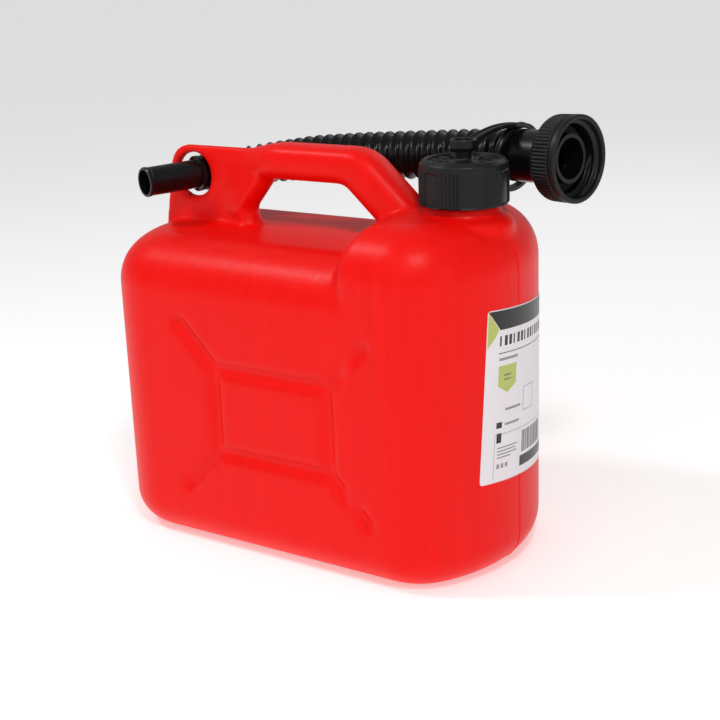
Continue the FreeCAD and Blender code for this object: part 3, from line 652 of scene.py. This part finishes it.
def printed_patch(corners):
    """Four-cornered patch of ink, bilinear between its corners.

    Its face stands proud of the film; its rim and back lie just inside it."""
    a, b, c, d = (np.array(p, float) for p in corners)
    wide, tall = (max(np.linalg.norm(p), np.linalg.norm(q)) for p, q in ((b - a, c - d), (d - a, c - b)))
    columns, rows = (2 + int(length / INK_STEP) for length in (wide, tall))
    s = np.r_[0, steps(0, 1, columns), 1][None, :, None]
    t = np.r_[0, steps(0, 1, rows), 1][:, None, None]
    place = (1 - t) * ((1 - s) * a + s * b) + t * ((1 - s) * d + s * c)
    back = np.full(place.shape[:2], FILM - INK_SUNK)
    face = back.copy()
    face[1:-1, 1:-1] = FILM + INK
    sheets = [on_crown(place[..., 0], place[..., 1], height) for height in (face, back)]
    return np.concatenate([sheets[0], sheets[1][::-1]])


def bar(left, low, wide, tall):
    return [(left, low), (left + wide, low), (left + wide, low + tall), (left, low + tall)]


def label_print():
    """Every block on the label, by ink: header, title bar, rules, shield, signs, bar code and small print."""
    right = LABEL_WIDE / 2 - 0.6
    top = LABEL_TALL / 2 - 0.6
    black = [[(-36.4, top), (right, top), (right, 38.0), (-26.5, 38.0)]]
    black += [bar(-26.5 + 4.1 * k, 28.9, 2.5 if k % 3 else 1.3, 5.6) for k in range(15)]
    black += [bar(-27.0, 24.6, 27.0 + right, 0.45)]
    black += [bar(-26.5, -18.0, 4.6, 3.4), bar(-26.0, -26.6, 4.0, 5.6)]
    black += [bar(-3.0, -44.6, right + 3.0, 6.0)]
    for k in range(22):
        black.append(bar(-1.0 + 1.42 * k, -36.6, 0.95 if k % 4 == 1 else 0.5 if k % 3 else 0.75, 12.6))
    black += [bar(-21.5, 9.0, 6.5, 1.1), bar(-21.5, 11.5, 6.5, 1.1)]
    grey = [bar(-26.5, 20.6, 17.5, 1.5)]
    grey += [bar(-19.4, -8.6, 15.0, 1.4), bar(-19.4, -17.2, 14.0, 1.4)]
    grey += [bar(-25.0, -30.0 - 1.9 * k, (18.5, 17.0, 18.0, 12.0)[k], 0.7) for k in range(4)]
    grey += [bar(-25.0 + 3.6 * k, -41.6, 2.2, 2.6) for k in range(3)]
    grey += [bar(-27.6, -47.6, 0.3, 26.0), bar(-27.6, -21.9, 27.6 + right, 0.3)]
    grey += [bar(-1.0, -12.4, 14.0, 0.4), bar(-1.0, 1.2, 14.0, 0.4)]
    grey += [bar(-1.0, -12.4, 0.4, 14.0), bar(12.6, -12.4, 0.4, 14.0)]
    green = [[(-36.4, top), (-36.4, 28.6), (-31.2, 33.4), (-27.6, 38.2)]]
    green += [[(-26.6, 6.2), (-18.4, 1.8), (-10.2, 6.2), (-18.4, 8.0)]]
    green += [[(-26.6, 6.2), (-18.4, 8.0), (-18.4, 17.6), (-26.6, 17.6)]]
    green += [[(-18.4, 8.0), (-10.2, 6.2), (-10.2, 17.6), (-18.4, 17.6)]]
    return {"green": green, "black": black, "grey": grey}


def film_finish(name, colour, roughness):
    """Printed polypropylene film: soft gloss, with the faint waviness of hand-laid film."""
    material, tree, shader = new_material(name, colour, roughness, 1.49)
    place = add_node(tree, "TexCoord").outputs["Object"]
    wave = add_node(tree, "TexNoise", {"Scale": 60.0, "Detail": 2.0}, Vector=place).outputs[0]
    tooth = add_node(tree, "TexNoise", {"Scale": 2400.0, "Detail": 1.0}, Vector=place).outputs[0]
    bump = add_node(tree, "Bump", {"Strength": 0.25, "Distance": 0.0004}, Height=wave).outputs[0]
    nap = {"Strength": 0.08, "Distance": 0.0001}
    bump = add_node(tree, "Bump", nap, Height=tooth, Normal=bump).outputs[0]
    tree.links.new(bump, shader.inputs["Normal"])
    gloss = add_node(tree, "MapRange", {3: roughness - 0.04, 4: roughness + 0.06}, Value=wave).outputs[0]
    tree.links.new(gloss, shader.inputs["Roughness"])
    return material


film = skin("label_film", film_sheet(), wrap_u=False)
film.data.materials.append(film_finish("printed_film_white", "#E6E0E4", 0.42))
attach(film, "can")
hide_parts("label")
for ink, blocks in label_print().items():
    patches = [skin("patch", printed_patch(block), wrap_v=False) for block in blocks]
    printed = merged("label_ink_" + ink, patches)
    printed.data.shade_flat()
    printed.data.materials.append(film_finish("screen_ink_" + ink, INKS[ink], 0.34))
    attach(printed, "can")


# ---------------------------------------------------------------------------
# Neck finish: the screwed mouth of the tank, calibrated by the blow pin, so it
# is round and crisp.  Same red HDPE, with one and a quarter turns of thread.
# ---------------------------------------------------------------------------

NECK_RADIUS = 18.8
NECK_BORE = 16.2
NECK_TOP = 226.0
NECK_THREAD = (215.0, 5.0, 1.25)
NECK_THREAD_PROUD = 1.8
NECK_THREAD_HALF = 1.5
WELL_FLOOR = 120.0


def thread_height(angle, along, start, pitch, turns, wide):
    """Rounded ridge on a helix, 0 to 1: a raised cosine round the helix, tapering off at its ends."""
    whole = np.round((along - start) / pitch - angle / (2 * math.pi))
    turn = np.clip(angle / (2 * math.pi) + whole, 0, turns)
    away = np.abs(along - start - pitch * turn) / wide
    reach = angle / (2 * math.pi) + whole
    ends = np.clip(np.minimum(reach, turns - reach) / 0.06 + 1, 0, 1)
    ridge = np.clip(1.35 * (0.5 + 0.5 * np.cos(math.pi * np.clip(away, 0, 1))), 0, 1)
    return ridge * ends


def turned(profile, count, offset=None):
    """Profile (radius, height) turned once round an upright axis at the origin, in rings.

    Offset(angle, radius, height) may add to the radius and to the height."""
    angle = steps(0, 2 * math.pi, count + 1)[:-1][None, :]
    radius = profile[:, :1] + 0 * angle
    height = profile[:, 1:] + 0 * angle
    if offset:
        more, lift = offset(angle + 0 * radius, radius, height)
        radius, height = radius + more, height + lift
    return np.stack([radius * np.cos(angle), radius * np.sin(angle), height], -1)


def neck_finish():
    """Threaded wall, rounded lip and bore, down to a dark well that stands for the empty tank."""
    profile, _ = rounded_path(
        [(17.2, 208), (NECK_RADIUS, 208), (NECK_RADIUS, NECK_TOP), (NECK_BORE, NECK_TOP),
         (NECK_BORE, 196), (24, 190), (24, WELL_FLOOR), (0.01, WELL_FLOOR)],
        [0, 0.1, 0.9, 0.9, 3, 3, 3, 0], 0.5)

    def offset(angle, radius, height):
        start, pitch, turns = NECK_THREAD
        outer = (radius > NECK_RADIUS - 0.2) & (height > 208.5)
        thread = thread_height(angle, height, start, pitch, turns, NECK_THREAD_HALF)
        return NECK_THREAD_PROUD * outer * thread, 0

    return turned(profile, 150, offset) + (NECK_X, 0, 0)


neck = skin("neck_finish", neck_finish(), wrap_u=False)
neck.data.materials.append(tank_skin.data.materials[0])
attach(neck, "can")


# ---------------------------------------------------------------------------
# Cap: black polypropylene, injection moulded in two parts.  The outer shell
# turns freely until it is pressed down onto the threaded inner cap.  Its skirt
# has six groups of finger ribs with smooth hollows between them.
# ---------------------------------------------------------------------------

SHELL_BORE = 23.4
SHELL_RADIUS = 24.6
SHELL_BOTTOM = 211.2
SHELL_RIM_TOP = 236.2
SHELL_TOP = 233.6
SHELL_FLOOR = 231.8
SHELL_BEVEL = 2.4
RIB_PROUD = 0.5
VALLEY_DEEP = 0.85
HOLLOW_DEEP = 0.9
RIB_ARCH = 232.3
RIB_ARCH_FALL = 1.9
LEDGE = 229.6
LEDGE_RISE = 1.0
RIB_GROUPS = 6
RIBS_EACH = 6
GROUP_ANGLE = math.radians(31.0)
GROUP_FIRST = math.radians(-78.5)
POST_RADIUS = 4.5
POST_TOP = 244.0
POST_HEAD = 5.3
RATCHET_LUGS = 12
LUG_RISE = 2.0
PP_BLACK = "#121213"


def grip_offset(angle, radius, height):
    """Ribs and hollows of the skirt, and the ratchet lugs in the recessed top.

    Ribs are half waves across each group, their tops on a low arch; between
    groups the wall falls back behind a small ledge."""
    span = 2 * math.pi / RIB_GROUPS
    across = (angle - GROUP_FIRST + span / 2) % span - span / 2
    share = across / GROUP_ANGLE
    group = 1 - smooth_step(0.5, 0.535, np.abs(share))
    wave = np.abs(np.cos(math.pi * RIBS_EACH * share + math.pi / 2 * (RIBS_EACH % 2 == 0)))
    arch = RIB_ARCH - RIB_ARCH_FALL * (2 * share) ** 2
    below_arch = 1 - smooth_step(arch - 0.9, arch + 0.2, height)
    rib = group * np.sqrt(wave) * below_arch
    ledge = LEDGE + LEDGE_RISE * np.cos(math.pi * (np.abs(across) - span / 2) / (span - GROUP_ANGLE))
    hollow = (1 - group) * (1 - smooth_step(ledge - 0.7, ledge + 0.1, height))
    foot = smooth_step(SHELL_BOTTOM, SHELL_BOTTOM + 1.0, height)
    outside = radius > SHELL_RADIUS - 0.3
    valley = VALLEY_DEEP * group * below_arch
    more = outside * foot * ((RIB_PROUD + VALLEY_DEEP) * rib - valley - HOLLOW_DEEP * hollow)
    tooth = (angle * RATCHET_LUGS / (2 * math.pi)) % 1
    slope = smooth_step(0.12, 0.62, tooth) * (1 - smooth_step(0.80, 0.88, tooth))
    belt = smooth_step(11.2, 12.2, radius) * (1 - smooth_step(17.2, 18.2, radius))
    recess = (height > SHELL_TOP - 0.2) & (radius < 19.5) & (radius > 10)
    lift = np.where(recess, LUG_RISE * slope * belt, 0)
    return more, lift


def cap_shell():
    """Closed section of the shell: skirt, bevelled rim, recess, post with its head, and the inside."""
    profile, _ = rounded_path(
        [(0.01, SHELL_FLOOR), (SHELL_BORE, SHELL_FLOOR), (SHELL_BORE, SHELL_BOTTOM),
         (SHELL_RADIUS, SHELL_BOTTOM), (SHELL_RADIUS, SHELL_RIM_TOP - SHELL_BEVEL),
         (SHELL_RADIUS - SHELL_BEVEL, SHELL_RIM_TOP), (20.4, SHELL_RIM_TOP), (19.4, SHELL_TOP),
         (8.6, SHELL_TOP), (8.0, SHELL_TOP + 0.8), (6.2, SHELL_TOP + 0.8),
         (POST_RADIUS, SHELL_TOP + 2.2), (POST_RADIUS, POST_TOP), (POST_HEAD, POST_TOP + 0.1),
         (POST_HEAD - 0.3, POST_TOP + 1.3), (0.01, POST_TOP + 1.3)],
        [0, 0.6, 0.3, 0.5, 1.2, 1.0, 0.5, 0.6, 0.25, 0.3, 0.6, 0.8, 0.1, 0.3, 0.8, 0], 0.52)
    return turned(profile, 480, grip_offset) + (NECK_X, 0, 0)


def moulded_black(name, colour, roughness, texture_size, texture_deep):
    """Injection-moulded plastic: spark texture from the mould, plus broad sink marks and handling gloss."""
    material, tree, shader = new_material(name, colour, roughness, 1.49)
    place = add_node(tree, "TexCoord").outputs["Object"]
    spark = add_node(tree, "TexNoise", {"Scale": 1 / texture_size, "Detail": 3.0}, Vector=place).outputs[0]
    shader.inputs["Specular IOR Level"].default_value = 0.28
    sink = add_node(tree, "TexNoise", {"Scale": 45.0, "Detail": 2.0}, Vector=place).outputs[0]
    bump = add_node(tree, "Bump", {"Strength": 0.3, "Distance": texture_deep}, Height=spark).outputs[0]
    bump = add_node(tree, "Bump", {"Strength": 0.15, "Distance": 0.0006}, Height=sink, Normal=bump).outputs[0]
    tree.links.new(bump, shader.inputs["Normal"])
    worn = {1: 0.3, 2: 0.7, 3: roughness - 0.05, 4: roughness + 0.08}
    gloss = add_node(tree, "MapRange", worn, Value=sink).outputs[0]
    tree.links.new(gloss, shader.inputs["Roughness"])
    return material


pp_satin = moulded_black("injection_moulded_pp_black", PP_BLACK, 0.42, 0.0006, 0.00012)
shell = skin("cap_shell_skin", cap_shell(), wrap_u=False)
shell.data.materials.append(pp_satin)
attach(shell, "shell")
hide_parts("cap_shell")
rubber = moulded_black("nitrile_seal", "#1B1A18", 0.72, 0.0004, 0.00008)
for name, finish in (("cap_inner", pp_satin), ("cap_gasket", rubber), ("spout_gasket", rubber)):
    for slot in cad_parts[name].material_slots:
        slot.material = finish


# ---------------------------------------------------------------------------
# Spout: black polyethylene.  A blow-moulded bellows, soft enough to bend, joins
# a stiff nozzle to a stiff cuff; all of it is glossier than the cap.  Nozzle and
# cuff are the frame's own pieces with the same finish.
# ---------------------------------------------------------------------------

SPOUT_LOOP = (-95.8, 0.0, 215.6)
NOZZLE_LEAN = math.radians(21.0)
NOZZLE_CLIMB = 0.03
NOZZLE_REACH = 36.0
NOZZLE_LENGTH = 48.0
BEND_BEHIND = 36.0
SPOUT_RISE = (-30.0, 38.95, 224.0)
SPOUT_KNEE = (90.0, 47.95, 231.4)
SPOUT_MOUTH = (150.8, 36.65, 232.8)
SPOUT_BENDS = (45.0, 200.0, 150.0)
CUFF_LENGTH = 48.0
BELLOWS_PITCH = 7.2
BELLOWS_TIP = 11.6
BELLOWS_WIDE = 14.45
BELLOWS_TAPER = 0.52
BELLOWS_DEEP = 2.9
PE_BLACK = "#0B0B0C"


def spout_line(spacing):
    """The spout's centreline, nozzle's end to mouth, with its directions."""
    nozzle = np.array([math.sin(NOZZLE_LEAN), math.cos(NOZZLE_LEAN), NOZZLE_CLIMB])
    nozzle /= np.linalg.norm(nozzle)
    loop = np.array(SPOUT_LOOP)
    corners = [loop - nozzle * NOZZLE_REACH, loop + nozzle * BEND_BEHIND, SPOUT_RISE, SPOUT_KNEE, SPOUT_MOUTH]
    return rounded_path(corners, [0, *SPOUT_BENDS, 0], spacing)


def swept(points, tangents, radius, count):
    """Rings of the given radii square to a path: point + radius * (cos * level + sin * up)."""
    level = np.cross(tangents, (0, 0, 1.0))
    level /= np.linalg.norm(level, axis=1)[:, None]
    up = np.cross(level, tangents)
    angle = steps(0, 2 * math.pi, count + 1)[:-1]
    spoke = level[:, None] * np.cos(angle)[None, :, None] + up[:, None] * np.sin(angle)[None, :, None]
    return points[:, None] + spoke * radius[:, None, None]


def bellows():
    """Corrugated tube: radius = ridge radius - depth * (1 - wave), the wave a narrow rounded crest.

    The ridge radius grows evenly over the first half and then stays."""
    points, tangents = spout_line(0.4)
    run = np.r_[0, np.cumsum(np.linalg.norm(np.diff(points, axis=0), axis=1))]
    inside = (run > NOZZLE_LENGTH) & (run < run[-1] - CUFF_LENGTH)
    length = run[-1] - CUFF_LENGTH - NOZZLE_LENGTH
    count = round(length / BELLOWS_PITCH)
    share = (run[inside] - NOZZLE_LENGTH) / length
    ridge = BELLOWS_TIP + (BELLOWS_WIDE - BELLOWS_TIP) * np.clip(share / BELLOWS_TAPER, 0, 1)
    crest = (0.5 - 0.5 * np.cos(2 * math.pi * share * count)) ** 1.25
    radius = ridge - BELLOWS_DEEP * (1 - crest)
    return capped(swept(points[inside], tangents[inside], radius, 72))


pe_gloss = moulded_black("glossy_polyethylene_black", PE_BLACK, 0.24, 0.0011, 0.00010)
hose = skin("spout_bellows_skin", bellows(), wrap_u=False)
hose.data.materials.append(pe_gloss)
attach(hose, "spout")
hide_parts("spout_bellows")
for name in ("spout_nozzle", "spout_cuff"):
    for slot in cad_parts[name].material_slots:
        slot.material = pe_gloss


# ---------------------------------------------------------------------------
# Spout nut: black polypropylene ring that turns on the cuff and screws onto the
# can's neck.  Fine ribs all round for grip, a plain rim in front, one turn of
# thick rounded thread inside.
# ---------------------------------------------------------------------------

NUT_RADIUS = 24.5
NUT_LENGTH = 19.0
NUT_BACK = 2.6
NUT_HOLE = 15.3
NUT_BORE = 21.6
NUT_RIBS = 72
NUT_RIB = 0.9
NUT_THREAD = (9.4, 5.0, 1.12)
NUT_THREAD_PROUD = 2.3
NUT_THREAD_HALF = 1.7
NUT_THREAD_TURN = math.radians(200)


def nut_offset(angle, radius, height):
    """Grip ribs on the outside, and the thread inside."""
    belt = smooth_step(3.0, 5.2, height) * (1 - smooth_step(13.6, 14.1, height)) * (radius > 23)
    wave = np.sqrt(np.abs(np.sin(NUT_RIBS * angle / 2))) - 0.6
    start, pitch, turns = NUT_THREAD
    bore = (np.abs(radius - NUT_BORE) < 0.15) & (height > NUT_BACK + 0.3) & (height < NUT_LENGTH - 0.5)
    turn = (angle - NUT_THREAD_TURN) % (2 * math.pi)
    thread = thread_height(turn, height, start, pitch, turns, NUT_THREAD_HALF)
    return NUT_RIB * belt * wave - bore * NUT_THREAD_PROUD * thread, 0


def nut():
    """Closed ring section turned about the mouth's axis: back face, ribbed wall, groove, rim, bore."""
    profile, _ = rounded_path(
        [(NUT_HOLE, NUT_BACK), (NUT_HOLE, 0), (20.2, 0), (NUT_RADIUS - 0.75, 3.4), (NUT_RADIUS - 0.45, 14.3),
         (NUT_RADIUS - 1.3, 14.5), (NUT_RADIUS - 1.3, 15.1), (NUT_RADIUS, 15.4), (NUT_RADIUS, NUT_LENGTH),
         (NUT_BORE + 0.5, NUT_LENGTH), (NUT_BORE, NUT_LENGTH - 0.8), (NUT_BORE, NUT_BACK)],
        [0.2, 0.5, 1.8, 2.4, 0.15, 0.15, 0.15, 0.4, 0.9, 0.3, 0.3, 0.4], 0.4, closed=True)
    along, turn = spout_line(0.4)
    direction = turn[-1]
    back = along[-1] - direction * NUT_LENGTH
    level = np.cross(direction, (0, 0, 1.0))
    level /= np.linalg.norm(level)
    ring = turned(profile, 576, nut_offset)
    return back + ring @ np.stack([level, np.cross(level, direction), direction])


nut_ring = skin("spout_nut_skin", nut())
nut_ring.data.materials.append(pp_satin)
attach(nut_ring, "nut")
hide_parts("spout_nut")


# ---------------------------------------------------------------------------
# Tether: one soft black moulding.  An eye turns on the cap's post, a channelled
# strap arches over to a ring that hangs loose round the cuff, top forwards.
# The strap is two pieces.
# ---------------------------------------------------------------------------

EYE_LOW = 240.0
EYE_HIGH = 246.4
EYE_RADIUS = 7.4
EYE_BORE = 4.85
EYE_SEAT = 5.7
RING_BORE = 17.2
RING_RADIUS = 20.0
RING_WIDE = 4.0
RING_FROM_MOUTH = 45.0
RING_DROP = 1.2
RING_LEAN = math.radians(12.0)
STRAP_WIDE = 7.0
STRAP_THICK = 2.4
STRAP_LIFT = 2.6
CHANNEL_DEEP = 0.7
PE_SOFT_BLACK = "#101011"


def tether_eye():
    """Closed ring section turned about the cap's axis, with a seat for the post's head on top."""
    profile, _ = rounded_path(
        [(EYE_BORE, EYE_LOW), (EYE_RADIUS - 0.7, EYE_LOW), (EYE_RADIUS, EYE_LOW + 2), (EYE_RADIUS, EYE_HIGH),
         (EYE_SEAT, EYE_HIGH), (EYE_SEAT, EYE_LOW + 1.6), (EYE_BORE, EYE_LOW + 1.6)],
        [0.3, 0.6, 0.8, 0.7, 0.5, 0.2, 0.2], 0.3, closed=True)
    return turned(profile, 96) + (NECK_X, 0, 0)


def ring_frame():
    """Centre, sideways, top and axis directions of the leaning ring."""
    line, heading = spout_line(0.4)
    run = np.r_[0, np.cumsum(np.linalg.norm(np.diff(line, axis=0), axis=1))]
    at = int(np.argmin(np.abs(run - (run[-1] - RING_FROM_MOUTH))))
    direction = heading[at]
    level = np.cross(direction, (0, 0, 1.0))
    level /= np.linalg.norm(level)
    up = np.cross(level, direction)
    axis = direction * math.cos(RING_LEAN) - up * math.sin(RING_LEAN)
    return line[at] - up * RING_DROP, level, up * math.cos(RING_LEAN) + direction * math.sin(RING_LEAN), axis


def tether_ring():
    """Closed channel section turned about the ring's axis."""
    half = RING_WIDE / 2
    floor = RING_RADIUS - CHANNEL_DEEP
    profile, _ = rounded_path(
        [(RING_BORE, -half), (RING_RADIUS, -half), (RING_RADIUS, -half + 1.1), (floor, -half + 1.3),
         (floor, half - 1.3), (RING_RADIUS, half - 1.1), (RING_RADIUS, half), (RING_BORE, half)],
        [0.5, 0.35, 0.3, 0.2, 0.2, 0.3, 0.35, 0.5], 0.25, closed=True)
    centre, level, top, axis = ring_frame()
    return centre + turned(profile, 160) @ np.stack([level, top, axis])


def strap_half(first, last):
    """Channel section carried along an arch: point = parabola through eye, crest and ring + section."""
    centre, _, up, _ = ring_frame()
    top = centre + up * (RING_RADIUS - STRAP_THICK / 2)
    eye = np.array([NECK_X, 0, EYE_HIGH - STRAP_THICK / 2 - 0.2])
    heading = (top - eye) * (1, 1, 0)
    heading /= np.linalg.norm(heading)
    start = eye + heading * (EYE_RADIUS - 0.5)
    end = top - heading * 0.2
    share = steps(first, last, 40)[:, None]
    middle = start * (1 - share) + end * share + np.array([0, 0, 4 * STRAP_LIFT]) * share * (1 - share)
    half = STRAP_WIDE / 2
    thick = STRAP_THICK / 2
    section, _ = rounded_path(
        [(-half, -thick), (half, -thick), (half, thick), (half - 1.1, thick),
         (half - 1.4, thick - CHANNEL_DEEP),
         (-half + 1.4, thick - CHANNEL_DEEP), (-half + 1.1, thick), (-half, thick)],
        [0.4, 0.4, 0.4, 0.2, 0.2, 0.2, 0.2, 0.4], 0.25, closed=True)
    side = np.array([-heading[1], heading[0], 0])
    narrow = 1 - 0.35 * smooth_step(0.8, 1.0, share)
    grid = middle[:, None] + side * (section[None, :, :1] * narrow[:, None])
    return capped(grid + np.array([0, 0, 1.0]) * section[None, :, 1:])


pe_soft = moulded_black("flexible_polyethylene_black", PE_SOFT_BLACK, 0.34, 0.0008, 0.00010)
centre, _, up, _ = ring_frame()
eye_end = np.array([NECK_X, EYE_RADIUS, EYE_HIGH])
ring_end = centre + up * RING_RADIUS
crest = (eye_end + ring_end) / 2
for name, grid, closed, node, body in (
        ("tether_eye_skin", tether_eye(), True, "tether_eye", "tether_end"),
        ("tether_ring_skin", tether_ring(), True, "tether_ring", "spout")):
    piece = skin(name, grid)
    piece.data.materials.append(pe_soft)
    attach(piece, body)
    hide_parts(node)
halves = (("tether_strap_eye_half", 0.0, 0.5, "tether_end", "can", eye_end, crest),
          ("tether_strap_ring_half", 0.5, 1.0, "can", "spout", crest, ring_end))
for name, first, last, body_a, body_b, start, end in halves:
    piece = skin(name, strap_half(first, last), wrap_u=False)
    piece.data.materials.append(pe_soft)
    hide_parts("tether_strap")
    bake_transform(piece)
